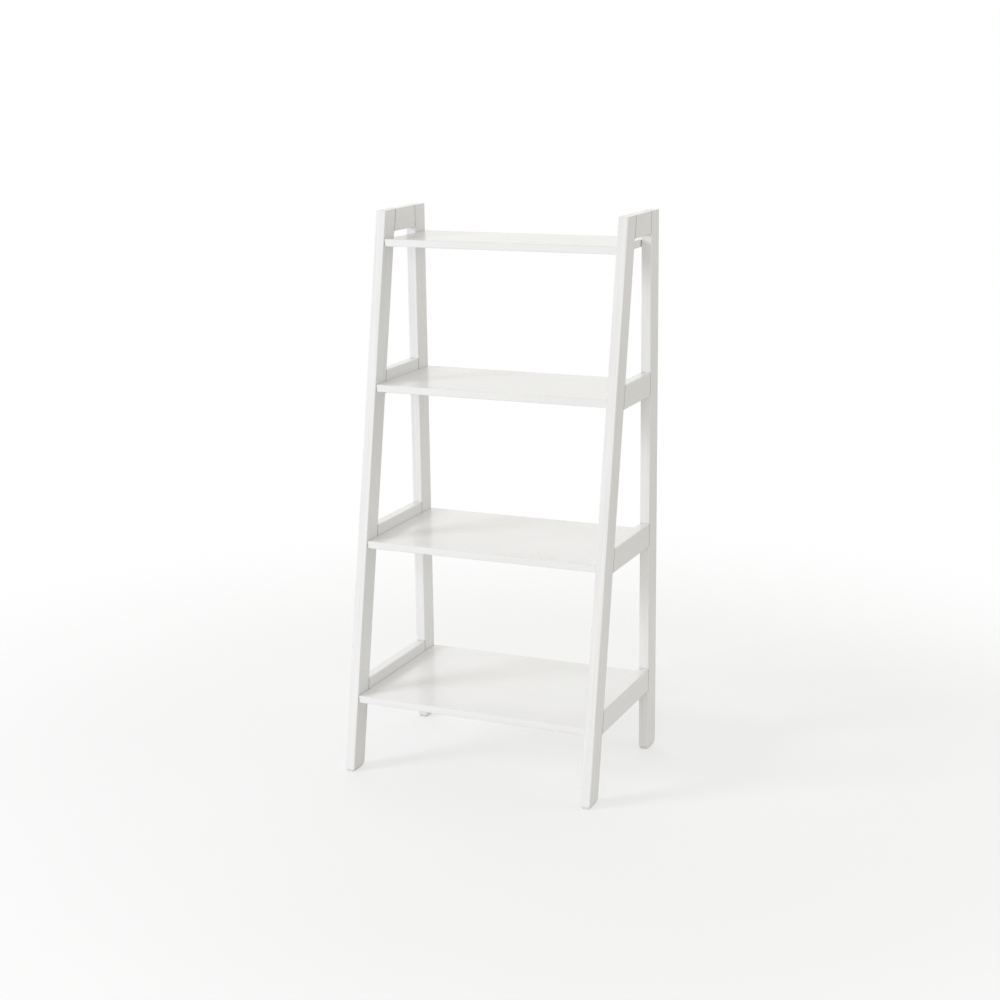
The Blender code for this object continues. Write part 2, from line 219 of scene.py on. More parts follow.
class Surface:
    """The points and faces of one closed piece, and how far each point is unlacquered: wood in
    holes and joints, painted shade at the rail seams.
    """

    def __init__(self):
        self.points = np.empty((0, 3))
        self.bare_and_seam_shade = np.empty(0)
        self.faces = []

    def add(self, points, bare_and_seam_shade=0.0):
        """Adds points laid out in any grid, and gives back their numbers in the same grid."""
        first = len(self.points)
        self.points = np.concatenate((self.points, points.reshape(-1, 3)))
        self.bare_and_seam_shade = np.append(self.bare_and_seam_shade, np.broadcast_to(bare_and_seam_shade, points.shape[:-1]))
        return np.arange(first, len(self.points)).reshape(points.shape[:-1])

    def join(self, rings, windows=None):
        """Quads from each closed ring of points to the next, left out where windows is true."""
        after = np.roll(rings, -1, axis=1)
        quads = np.stack((rings[:-1], after[:-1], after[1:], rings[1:]), axis=-1)
        if windows is not None:
            quads = quads[~windows]
        self.faces += quads.reshape(-1, 4).tolist()

    def cap(self, ring):
        """One flat face inside a ring of points."""
        self.faces.append(ring.tolist())

    def fill(self, outline, holes=(), flat=None):
        """Triangles between an outline and the rims of the holes in it.

        It is the constrained Delaunay triangulation of the points in two dimensions: flat, or
        the two axes that see most of the face. Triangles whose middle is in a hole are dropped.
        """
        loops = [outline, *holes]
        numbers = np.concatenate(loops)
        if flat is None:
            corners = self.points[outline]
            square_to = np.abs(np.cross(corners, np.roll(corners, -1, axis=0)).sum(axis=0))
            flat = np.delete(self.points[numbers], square_to.argmax(), axis=1)
        ends = np.cumsum([len(loop) for loop in loops])
        starts = ends - [len(loop) for loop in loops]
        edges = [
            edge
            for start, end in zip(starts, ends)
            for edge in zip(range(start, end), [*range(start + 1, end), start])
        ]
        made = geometry.delaunay_2d_cdt(
            [Vector(point) for point in flat.tolist()], edges, [], 1, 1e-8
        )
        source = np.array([origins[0] for origins in made[3]])
        triangles = source[np.array(made[2])]
        middles = flat[triangles].mean(axis=1)
        for start, end in zip(starts[1:], ends[1:]):
            outside = ~inside(middles, flat[start:end])
            triangles, middles = triangles[outside], middles[outside]
        self.faces += numbers[triangles].tolist()

    def face(self, outline, features=()):
        """A flat face, pierced or raised where a feature's loops begin on it.

        A feature is a grid of points, loop by loop, whose first loop lies on the face and whose
        last is closed; or a ring of points already joined to the rest.
        """
        rims = []
        for feature in features:
            if feature.ndim == 3:
                bare_and_seam_shade = np.ones((len(feature), 1))
                bare_and_seam_shade[0] = self.bare_and_seam_shade[outline[0]]
                loops = self.add(feature, bare_and_seam_shade)
                self.join(loops)
                self.cap(loops[-1])
                feature = loops[0]
            rims.append(feature)
        if rims:
            self.fill(outline, rims)
        else:
            self.cap(outline)


def points_at(x, y, z):
    """Points from three coordinates that stretch to one grid."""
    return np.stack(np.broadcast_arrays(x, y, z), axis=-1)


def from_end(low, high, distance, far):
    """A coordinate at a distance from its low end or, where far is true, from its high end."""
    return np.where(far, high - distance, low + distance)


def turned(x, middle, radius, turn):
    """A closed surface round X: y and z are the middle's plus radius * (cos turn, sin turn)."""
    surface = Surface()
    y, z = middle[0] + radius * np.cos(turn), middle[1] + radius * np.sin(turn)
    rings = surface.add(points_at(x, y, z))
    surface.join(rings)
    surface.cap(rings[0])
    surface.cap(rings[-1])
    return surface


def inside(points, loop):
    """Whether each point is in a loop: a ray to its right crosses it an odd number of times."""
    near, far = loop, np.roll(loop, -1, axis=0)
    x, y = points[:, :1], points[:, 1:]
    straddles = (near[:, 1] > y) != (far[:, 1] > y)
    rise = np.where(near[:, 1] == far[:, 1], 1.0, far[:, 1] - near[:, 1])
    crossing = near[:, 0] + (y - near[:, 1]) * (far[:, 0] - near[:, 0]) / rise
    return (straddles & (x < crossing)).sum(axis=1) % 2 == 1


def rounded_rectangle(half_u, half_v, radius, margin, steps):
    """Outlines with round corners, anticlockwise from the corner at +u, +v.

    A point of a corner is centre + radius * (cos a, sin a), with a from 0 to 90 degrees in the
    first corner and so on round. One more point stands a margin before each arc and one after
    it, along its tangent. Arrays of half sizes and radii give as many outlines.
    """
    half_u, half_v, radius = (np.reshape(value, (-1, 1, 1)) for value in (half_u, half_v, radius))
    arc = np.linspace(0, math.pi / 2, steps + 1)
    turn = np.arange(4)[:, None] * math.pi / 2 + np.concatenate(([0], arc, [math.pi / 2]))
    travel = np.concatenate(([-margin], np.zeros(steps + 1), [margin]))
    sign_u = np.array((1, -1, -1, 1))[:, None]
    sign_v = np.array((1, 1, -1, -1))[:, None]
    u = sign_u * (half_u - radius) + radius * np.cos(turn) - travel * np.sin(turn)
    v = sign_v * (half_v - radius) + radius * np.sin(turn) + travel * np.cos(turn)
    outlines = np.stack((u, v), axis=-1)
    return outlines.reshape(len(outlines), -1, 2)


def rounded_ends(radius, margin, steps):
    """How far each ring of a block is drawn in and is from its end, and which end that is.

    Between the flat end at a = 0 and the side at a = 90 degrees, a ring is drawn in by
    radius * (1 - sin a) at a distance of radius * (1 - cos a). A ring a margin further in
    and one a margin further along keep both faces flat.
    """
    angle = np.linspace(0, math.pi / 2, steps + 1)
    inset = np.concatenate(([radius + margin], radius * (1 - np.sin(angle)), [0]))
    distance = np.concatenate(([0], radius * (1 - np.cos(angle)), [radius + margin]))
    far = np.repeat((False, True), len(inset))
    return np.append(inset, inset[::-1]), np.append(distance, distance[::-1]), far


def add_block(
    surface, half_u, half_v, place, radius, end_radius, steps=None, stations=(), bare_and_seam_shade=None
):
    """A block with rounded edges: a rounded rectangle in u and v carried along its length.

    place turns u, v, the distance from an end and whether that is the far end into points,
    and the mask function turns them into how unlacquered each point is, which at the rail
    seams is painted shade. Stations are more distances from the near end. The faces between
    the roundings are left open and returned.
    """
    steps = steps or sizes().arc_steps
    inset, distance, far = rounded_ends(end_radius, sizes().margin, sizes().arc_steps)
    near = len(inset) // 2
    between = np.array(stations, float)
    inset = np.insert(inset, near, 0 * between)
    distance = np.insert(distance, near, between)
    far = np.insert(far, near, between < 0)
    halves = half_u - inset, half_v - inset
    section = rounded_rectangle(*halves, radius - inset, sizes().margin, steps)
    along = section[..., 0], section[..., 1], distance[:, None], far[:, None]
    rings = surface.add(place(*along), bare_and_seam_shade(*along) if bare_and_seam_shade else 0.0)
    corner = steps + 3
    flats = slice(near - 1, len(rings) - near + 1)
    windows = np.zeros((len(rings) - 1, rings.shape[1]), bool)
    windows[near - 1 : len(rings) - near, corner - 1 :: corner] = True
    surface.join(rings, windows)
    open_faces = {"near": rings[0], "far": rings[-1]}
    for index, side in enumerate(("+v", "-u", "-v", "+u")):
        first = (index + 1) * corner - 1
        second = (first + 1) % rings.shape[1]
        open_faces[side] = np.append(rings[flats, first], rings[flats, second][::-1])
    return open_faces


def close_faces(surface, open_faces, features):
    """Closes a block's faces, each with the features listed for it."""
    for side, outline in open_faces.items():
        surface.face(outline, features.get(side, ()))


def round_loops(centre, axis, radii, depths, sides=CIRCLE_SIDES):
    """Circles square to an axis: centre + depth * axis + radius * (cos a, sin a) across it."""
    axis = np.array(axis, float)
    across = np.roll(axis, 1)
    other = np.cross(axis, across)
    angle = np.linspace(0, math.tau, sides, endpoint=False)
    rim = np.outer(np.cos(angle), across) + np.outer(np.sin(angle), other)
    radii, depths = (np.array(value)[:, None, None] for value in (radii, depths))
    return np.array(centre) + depths * axis + radii * rim


def drilled(centre, axis, radius, depth, sides=CIRCLE_SIDES):
    """A blind round hole with a broken edge."""
    chamfer = sizes().hole_chamfer
    radii = radius + chamfer, radius, radius
    return round_loops(centre, axis, radii, (0, chamfer, depth), sides)


def tenon_loops(x, z_low, z_high, y_of_z, reach, spread, chamfer):
    """A tenon, or a mortise where spread is above 0, square to the width of the frame.

    Rounded rectangles in x and z start on the joint's plane y = y_of_z(z) and move along Y.
    """
    rule = sizes()
    shrink = np.array((0, 0, chamfer))
    half_x = rule.tenon_thickness / 2 + spread - shrink
    half_z = (z_high - z_low) / 2 - rule.tenon_inset + spread - shrink
    corner = rule.tenon_corner + spread - shrink
    outline = rounded_rectangle(half_x, half_z, corner, rule.margin, rule.arc_steps)
    z = outline[..., 1] + (z_low + z_high) / 2
    travel = reach * np.array((0, 1 - chamfer / abs(reach), 1))[:, None]
    return points_at(outline[..., 0] + x, y_of_z(z) + travel, z)


def add_object(name, data):
    """An object in the scene for a mesh, a light or a camera."""
    made = bpy.data.objects.new(name, data)
    bpy.context.collection.objects.link(made)
    return made


def add_mesh(name, surface, finish):
    """A surface as an object with one finish."""
    mesh = bpy.data.meshes.new(name)
    mesh.from_pydata(surface.points.tolist(), [], surface.faces)
    mesh.materials.append(finish)
    return add_object(name, mesh)


def make_piece(node, suffix, surface, finish, sharp=35):
    """A piece that stands for a node, shaded smooth between edges sharper than some degrees."""
    piece = add_mesh(f"{node}_{suffix}", surface, finish)
    mesh = piece.data
    build = bmesh.new()
    build.from_mesh(mesh)
    bmesh.ops.recalc_face_normals(build, faces=build.faces)
    build.to_mesh(mesh)
    build.free()
    # The unlacquered-wood layer, which is painted seam shade at the rail seams
    if surface.bare_and_seam_shade.any():
        mesh.attributes.new(BARE_AND_SEAM_SHADE, "FLOAT", "POINT").data.foreach_set("value", surface.bare_and_seam_shade)
    mesh.shade_smooth()
    mesh.set_sharp_from_angle(angle=math.radians(sharp))
    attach(piece, BODY)
    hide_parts(node)


# Places that the frame gives


def box(node):
    """Lowest and highest corner of a node, as arrays."""
    return tuple(np.array(corner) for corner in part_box(node))


def front_of_leg(z):
    """Y of the front leg's front face at a height: the lean is even from the foot to the top."""
    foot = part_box("front_leg_left")[0].z
    lean = (2 * CAD_HIGH.y - sizes().top_depth) / (CAD_HIGH.z - foot)
    return lean * (z - foot) - CAD_HIGH.y


def leg_depth():
    low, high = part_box("rear_leg_left")
    return high.y - low.y


def joint_planes():
    """Y of the front leg's back face and of the rear leg's front face, as functions of z."""
    depth = leg_depth()
    return {
        "front": lambda z: front_of_leg(z) + depth,
        "rear": lambda z: CAD_HIGH.y - depth,
    }


def rail_names(side):
    return [f"top_rail_{side}", *(f"side_rail_{board}_{side}" for board in RAILED_BOARDS)]


def inner_face(side):
    """X of a frame's face towards the boards."""
    low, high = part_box(f"rear_leg_{side}")
    return low.x if side == "right" else high.x


def bolt_hole(side, node):
    """A blind hole from a frame's inner face for the thread or dowel of a node."""
    rule = sizes()
    low, high = box(node)
    y, z = (low + high)[1:] / 2
    face = inner_face(side)
    if node.startswith("cam_bolt"):
        radius, depth = rule.thread_radius, rule.thread_length
    else:
        tip = high[0] if side == "right" else low[0]
        radius, depth = (high[2] - low[2]) / 2, abs(tip - face)
    outward = (SIDES[side], 0, 0)
    return drilled((face, y, z), outward, radius + rule.clearance, depth + rule.spare_depth)


# Wooden pieces


def leg_surface(end, side):
    """A leg: a level rounded rectangle carried up, and pushed back by the lean as it rises."""
    rule = sizes()
    low, high = box(f"{end}_leg_{side}")
    depth = leg_depth()
    x = (low[0] + high[0]) / 2
    plane = joint_planes()[end]
    front = front_of_leg if end == "front" else plane

    def place(u, v, distance, far):
        z = from_end(low[2], high[2], distance, far)
        return points_at(x + u, front(z) + depth / 2 + v, z)

    facing = 1 if end == "front" else -1
    rails = np.array([[box(rail)[0][2], box(rail)[1][2]] for rail in rail_names(side)])
    stations = np.sort(np.append(rails, rails + (-rule.margin, rule.margin))) - low[2]
    stations = stations[stations < high[2] - low[2] - 2 * rule.end_radius]

    def seam_shade_beside_rail(u, v, distance, far):
        """Unlacquered where a rail meets the leg: its face and most of the rounding beside it,
        where the dark wood colour is painted shade of the seam.
        """
        z = from_end(low[2], high[2], distance, far)
        reached = [(bottom - TOUCH < z) & (z < top + TOUCH) for bottom, top in rails]
        return np.any(reached, axis=0) & (facing * v > depth / 2 - rule.edge_radius * 0.8)

    surface = Surface()
    half_x = (high[0] - low[0]) / 2
    radii = rule.edge_radius, rule.end_radius
    open_faces = add_block(
        surface, half_x, depth / 2, place, *radii, stations=stations, bare_and_seam_shade=seam_shade_beside_rail
    )
    reach = -facing * (rule.tenon_length + rule.spare_depth)
    mortises = [
        tenon_loops(x, bottom, top, plane, reach, rule.clearance, 0.0)[:2] for bottom, top in rails
    ]
    glide_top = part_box(f"glide_{end}_{side}")[1].z
    foot = (x, front(low[2]) + depth / 2, low[2])
    pin_depth = glide_top - low[2] + rule.spare_depth
    features = {
        "+v" if end == "front" else "-v": mortises,
        "-u" if side == "right" else "+u": [bolt_hole(side, f"cam_bolt_top_{end}_{side}")],
        "near": [drilled(foot, (0, 0, 1), rule.pin_radius + rule.clearance, pin_depth, sides=16)],
    }
    close_faces(surface, open_faces, features)
    return surface


def rail_surface(name, side):
    """A rail: a rounded rectangle in x and z carried back, its ends cut to meet the legs."""
    rule = sizes()
    low, high = box(name)
    middle, half = (low + high) / 2, (high - low) / 2
    planes = joint_planes()
    gap = rule.seam_gap

    def place(u, v, distance, far):
        z = middle[2] + v
        y = from_end(planes["front"](z) + gap, planes["rear"](z) - gap, distance, far)
        return points_at(middle[0] + u, y, z)

    def seam_shade_at_rail_end(u, v, distance, far):
        """Unlacquered over a rail's end and its rounding, up to the last ring of it; the dark
        colour on that rounding is painted shade of the seam.
        """
        return distance + 0 * u < rule.seam_radius * 0.99

    surface = Surface()
    open_faces = add_block(
        surface, half[0], half[2], place, rule.edge_radius, rule.seam_radius, bare_and_seam_shade=seam_shade_at_rail_end
    )
    shoulders = {
        "near": (lambda z: planes["front"](z) + gap, -rule.tenon_length - gap),
        "far": (lambda z: planes["rear"](z) - gap, rule.tenon_length + gap),
    }
    features = {
        end: [tenon_loops(middle[0], low[2], high[2], shoulder, reach, 0, rule.tenon_chamfer)]
        for end, (shoulder, reach) in shoulders.items()
    }
    board = next((board for board in RAILED_BOARDS if f"_{board}_" in name), None)
    if board:
        holds = [f"cam_bolt_{board}_{end}_{side}" for end in ENDS] + [f"dowel_{board}_{side}"]
        inner = "-u" if side == "right" else "+u"
        features[inner] = [bolt_hole(side, node) for node in holds]
    close_faces(surface, open_faces, features)
    return surface


def add_cam_pocket(surface, board_end, under, side, lock, bolt):
    """A round pocket from below, its wall opened by the bolt's bore from the board's end.

    The bore meets the pocket's wall where x = sqrt(pocket radius squared - y squared), for y
    and z on the bore's circle. That stretch of wall is filled on its unrolled sheet, whose
    two dimensions are pocket radius * angle and z. Gives the rims of pocket and bore.
    """
    rule = sizes()
    low, high = box(lock)
    bolt_low, bolt_high = box(bolt)
    sign = SIDES[side]
    chamfer = rule.hole_chamfer
    middle_x, middle_y = (low + high)[:2] / 2
    radius = (high[0] - low[0]) / 2 + rule.clearance
    # The wall's columns, and how many of them the bore opens
    columns, window = 40, 8
    angle = (np.arange(columns) - window / 2) * math.tau / columns
    heights = np.array((under, under + chamfer, high[2] + rule.clearance))[:, None]
    spread = radius + np.array((chamfer, 0, 0))[:, None]
    wall_x, wall_y = middle_x + sign * spread * np.cos(angle), middle_y + spread * np.sin(angle)
    rings = surface.add(points_at(wall_x, wall_y, heights), ((0.0,), (1.0,), (1.0,)))
    opened = np.zeros((2, columns), bool)
    opened[1, :window] = True
    surface.join(rings, opened)
    surface.cap(rings[-1])

    axis_z = (bolt_low[2] + bolt_high[2]) / 2
    turn = np.linspace(0, math.tau, CIRCLE_SIDES, endpoint=False)
    circle_y, circle_z = rule.bore_radius * np.cos(turn), rule.bore_radius * np.sin(turn)
    widening = np.array((1 + chamfer / rule.bore_radius, 1, 1))[:, None]
    meeting = middle_x + sign * np.sqrt(radius**2 - circle_y**2)
    x = np.stack(np.broadcast_arrays(board_end, board_end - sign * chamfer, meeting))
    bore = points_at(x, middle_y + widening * circle_y, axis_z + widening * circle_z)
    bore_rings = surface.add(bore, ((0.0,), (1.0,), (1.0,)))
    surface.join(bore_rings)
    sheet = np.arange(window + 1)
    outline = np.concatenate((rings[1, sheet], rings[2, sheet[::-1]]))
    turns = angle[sheet], angle[sheet[::-1]], np.arcsin(circle_y / radius)
    along = radius * np.concatenate(turns)
    height = np.concatenate((np.repeat(heights[1:], len(sheet)), axis_z + circle_z))
    surface.fill(outline, [bore_rings[-1]], np.stack((along, height), axis=-1))
    return rings[0], bore_rings[0]


def board_surface(board):
    """A board: a rounded rectangle in y and z carried from its left end to its right end."""
    rule = sizes()
    low, high = box(f"shelf_{board}")
    middle, half = (low + high) / 2, (high - low) / 2

    def place(u, v, distance, far):
        return points_at(from_end(low[0], high[0], distance, far), middle[1] + u, middle[2] + v)

    surface = Surface()
    open_faces = add_block(surface, half[1], half[2], place, rule.edge_radius, rule.end_radius)
    features = {"-v": [], "near": [], "far": []}
    for side, sign in SIDES.items():
        board_end = high[0] if sign > 0 else low[0]
        board_side = "far" if sign > 0 else "near"
        for end in ENDS:
            lock, bolt = (f"{kind}_{board}_{end}_{side}" for kind in ("cam_lock", "cam_bolt"))
            pocket, bore = add_cam_pocket(surface, board_end, low[2], side, lock, bolt)
            features["-v"].append(pocket)
            features[board_side].append(bore)
        if board in RAILED_BOARDS:
            dowel_low, dowel_high = box(f"dowel_{board}_{side}")
            y, z = (dowel_low + dowel_high)[1:] / 2
            inner = dowel_low[0] if sign > 0 else dowel_high[0]
            radius = (dowel_high[2] - dowel_low[2]) / 2 + rule.clearance
            depth = abs(board_end - inner) + rule.spare_depth
            features[board_side].append(drilled((board_end, y, z), (-sign, 0, 0), radius, depth))
    close_faces(surface, open_faces, features)
    return surface


# Fittings


def cross_loops(centre, span, width, depth, taper=0.8):
    """A screwdriver cross in a face that looks down: a plus sign, smaller at its floor."""
    long, short = span / 2, width / 2
    quarter = np.array(((long, -short), (long, short), (short, short)))
    turn = np.arange(4) * math.pi / 2
    cosine, sine = np.cos(turn)[:, None], np.sin(turn)[:, None]
    x = quarter[:, 0] * cosine - quarter[:, 1] * sine
    y = quarter[:, 0] * sine + quarter[:, 1] * cosine
    plus = points_at(x, y, 0).reshape(-1, 3)
    return np.array(centre) + np.stack((plus, taper * plus + (0, 0, depth)))


def cam_lock_surface(node, side):
    """A cam: a disc with a screwdriver cross, under a wall that is open towards its bolt.

    The wall's outline is the disc's circle where it is outside the slot, then the slot's two
    straight sides and the half circle that joins them round the cam's middle.
    """
    rule = sizes()
    low, high = box(node)
    bolt_low, bolt_high = box(node.replace("cam_lock", "cam_bolt"))
    radius = (high[0] - low[0]) / 2
    half = rule.slot_half_width
    floor = (bolt_low[2] + bolt_high[2]) / 2 - half
    middle = np.array((*(low + high)[:2] / 2, 0))
    edge, margin = rule.hole_chamfer, rule.margin
    corner = math.asin(half / radius)
    # The rim under the wall, then the rim across the mouth of the slot
    behind = np.linspace(corner, math.tau - corner, 44)
    before = np.linspace(-corner, corner, 9)[1:-1]
    angle = np.concatenate((behind, before))
    rim = points_at(SIDES[side] * np.cos(angle), np.sin(angle), 0)
    quarter = np.linspace(0, math.pi / 2, 4)
    inset = np.concatenate(([edge + margin], edge * (1 - np.sin(quarter)), [0]))[:, None, None]
    rise = np.concatenate(([0], edge * (1 - np.cos(quarter)), [floor - low[2]]))[:, None, None]
    surface = Surface()
    disc = surface.add(middle + (radius - inset) * rim + (low[2] + rise) * np.array((0, 0, 1)))
    surface.join(disc)
    cross = cross_loops(
        (*middle[:2], low[2]), rule.recess_length, rule.recess_width, rule.recess_depth
    )
    surface.face(disc[0], [cross])

    bend = np.linspace(-math.pi / 2, -math.pi * 1.5, 13)
    slot = middle + points_at(SIDES[side] * half * np.cos(bend), half * np.sin(bend), 0)
    outer = disc[-1][: len(behind)]
    slot_floor = surface.add(slot + (0, 0, floor))
    wall_low = np.concatenate((outer, slot_floor))
    outer_top = surface.points[outer] * (1, 1, 0) + (0, 0, high[2])
    wall_top = surface.add(np.concatenate((outer_top, slot + (0, 0, high[2]))))
    surface.join(np.stack((wall_low, wall_top)))
    surface.fill(wall_top)
    ahead = disc[-1][len(behind) :]
    surface.fill(np.concatenate((outer[-1:], ahead, outer[:1], slot_floor[::-1])))
    return surface


def cam_bolt_surface(node, side):
    """A turned bolt: a radius for every distance along it and, in the thread, for every angle.

    The thread's radius is core + height * ridge. With phase the fraction of the distance in
    pitches less the angle in turns, ridge is 1.6 - 4 * |phase - 0.5|, kept from 0 to 1. It
    grows over the first pitch, where the tip also widens from 0.55 of its size, and fades
    over the last. The head is an arc from the neck at -58 degrees to a flat end at 68.
    """
    rule = sizes()
    low, high = box(node)
    face = inner_face(side)
    tip = -rule.thread_length
    head_end = max(abs(low[0] - face), abs(high[0] - face))
    collar = (high[2] - low[2]) / 2
    head_turn = np.radians(np.linspace(-58, 68, 12))
    head_middle = head_end - rule.head_radius * math.sin(head_turn[-1])
    head_distance = head_middle + rule.head_radius * np.sin(head_turn)
    neck = head_distance[0]
    gap = rule.clearance
    collar_end = gap + rule.collar_length
    thread_rings = 62
    thread = np.linspace(tip, -gap, thread_rings)
    plain = np.array(
        (
            (gap / 2, rule.core_radius),
            (gap, rule.core_radius),
            (gap, collar - gap / 2),
            (gap * 1.5, collar),
            (collar_end - gap / 2, collar),
            (collar_end, collar - gap / 2),
            (collar_end, rule.shank_radius),
            (neck - 2 * rule.neck_radius, rule.shank_radius),
            (neck - rule.neck_radius, rule.neck_radius),
        )
    )
    distance = np.concatenate((thread, plain[:, 0], head_distance))
    radius = np.concatenate(
        (0 * thread + rule.core_radius, plain[:, 1], rule.head_radius * np.cos(head_turn))
    )
    angle = np.linspace(0, math.tau, CIRCLE_SIDES, endpoint=False)
    phase = (thread[:, None] / rule.thread_pitch - angle / math.tau) % 1
    ridge = np.clip(1.6 - 4 * np.abs(phase - 0.5), 0, 1)
    growth = np.clip((thread - tip) / rule.thread_pitch, 0, 1)[:, None]
    fade = np.clip((-gap - thread) / rule.thread_pitch, 0, 1)[:, None]
    reach = np.repeat(radius[:, None], len(angle), axis=1)
    height = rule.thread_radius - rule.core_radius
    reach[: len(thread)] += height * ridge * growth * fade
    reach[: len(thread)] *= 0.55 + 0.45 * growth
    return turned(face - SIDES[side] * distance[:, None], (low + high)[1:] / 2, reach, angle)


def dowel_surface(node):
    """A fluted dowel, with round shoulders at both ends.

    Its radius falls by the flute depth times (1 - |sin(flutes * angle / 2)|) raised to 4.
    """
    rule = sizes()
    low, high = box(node)
    radius = (high[2] - low[2]) / 2
    chamfer = rule.dowel_chamfer
    quarter = np.linspace(0, math.pi / 2, 5)
    inset = np.append(chamfer * (1 - np.sin(quarter)), 0)
    along = np.append(chamfer * (1 - np.cos(quarter)), chamfer * 1.2)
    angle = np.linspace(0, math.tau, rule.flutes * 6, endpoint=False)
    flute = rule.flute_depth * (1 - np.abs(np.sin(rule.flutes * angle / 2))) ** 4
    distance = np.concatenate((low[0] + along, high[0] - along[::-1]))[:, None]
    reach = radius - np.concatenate((inset, inset[::-1]))[:, None] - flute
    return turned(distance, (low + high)[1:] / 2, reach, angle)


def glide_surface(node):
    """A glide: a pad with round corners and a round rim, and a pointed pin on top of it."""
    rule = sizes()
    low, high = box(node)
    middle_x, middle_y = (low + high)[:2] / 2
    pad_top = low[2] + rule.glide_height

    def place(u, v, distance, far):
        return points_at(middle_x + u, middle_y + v, from_end(low[2], pad_top, distance, far))

    surface = Surface()
    half_x, half_y = (high - low)[:2] / 2
    open_faces = add_block(
        surface, half_x, half_y, place, rule.glide_corner, rule.glide_edge, steps=8
    )
    straight = high[2] - pad_top - rule.pin_point
    radii = rule.pin_radius, rule.pin_radius, rule.pin_tip_radius
    heights = 0, straight, straight + rule.pin_point
    pin = round_loops((middle_x, middle_y, pad_top), (0, 0, 1), radii, heights, sides=24)
    close_faces(surface, open_faces, {"far": [pin]})
    return surface


# Finishes


class Value:
    """A shader socket that Python's arithmetic works on, by adding Math nodes."""

    def __init__(self, finish, socket):
        self.finish = finish
        self.socket = socket

    def math(self, operation, *values):
        return self.finish.node("ShaderNodeMath", dict(enumerate(values)), operation=operation)

    def __add__(self, other):
        return self.math("ADD", self, other)

    def __sub__(self, other):
        return self.math("SUBTRACT", self, other)

    def __mul__(self, other):
        return self.math("MULTIPLY", self, other)

    def __rsub__(self, other):
        return self.math("SUBTRACT", other, self)

    __radd__ = __add__
    __rmul__ = __mul__

    def clamped(self):
        return self.math("MINIMUM", self.math("MAXIMUM", self, 0.0), 1.0)


class Finish:
    """The nodes of a material or a world, with one method for every kind of node."""

    def __init__(self, owner):
        owner.use_nodes = True
        self.tree = owner.node_tree
        self.tree.nodes.clear()

    def node(self, kind, sockets=None, output=0, **settings):
        """A node of a type: its settings first, then the values or links of its sockets."""
        made = self.tree.nodes.new(kind)
        for name, value in settings.items():
            setattr(made, name, value)
        for name, value in (sockets or {}).items():
            socket = made.inputs[name]
            if isinstance(value, Value):
                self.tree.links.new(value.socket, socket)
            else:
                socket.default_value = value
        return Value(self, made.outputs[output]) if made.outputs else None

    def place(self, scale=(1, 1, 1), lean=0.0):
        """Object coordinates, turned about X by a lean, then scaled along each axis."""
        where = self.node("ShaderNodeTexCoord", output="Object")
        upright = self.node("ShaderNodeMapping", {"Vector": where, "Rotation": (lean, 0, 0)})
        return self.node("ShaderNodeMapping", {"Vector": upright, "Scale": scale})

    def noise(self, where, scale=1.0, detail=2.0, roughness=0.5):
        """Noise from 0 to 1, with scale cells to a metre of the place it is read at."""
        sockets = {"Vector": where, "Scale": scale, "Detail": detail, "Roughness": roughness}
        return self.node("ShaderNodeTexNoise", sockets)

    def blend(self, factor, first, second):
        """A colour between two: sockets 6 and 7 of the Mix node hold them, and output 2 is it."""
        sockets = {0: factor, 6: opaque(first), 7: opaque(second)}
        return self.node("ShaderNodeMix", sockets, 2, data_type="RGBA")

    def bump(self, height, distance, strength, **normal):
        """A relief with a height in metres, on top of another one where Normal is given."""
        sockets = {"Strength": strength, "Distance": distance, "Height": height}
        return self.node("ShaderNodeBump", sockets | normal)

    def shade(self, **sockets):
        """Ends the material in a Principled BSDF, with underscores for spaces in socket names."""
        named = {name.replace("_", " "): value for name, value in sockets.items()}
        shader = self.node("ShaderNodeBsdfPrincipled", named)
        self.node("ShaderNodeOutputMaterial", {"Surface": shader})


def opaque(shade):
    """A colour for a socket: another socket as it is, or three parts with full alpha."""
    return shade if isinstance(shade, Value) else (*shade, 1.0)


# Cells of noise to the metre in the lacquer
GRAIN_ACROSS = 260.0
GRAIN_ALONG = 5.0
ORANGE_PEEL = 620.0
CLOUDS = 9.0


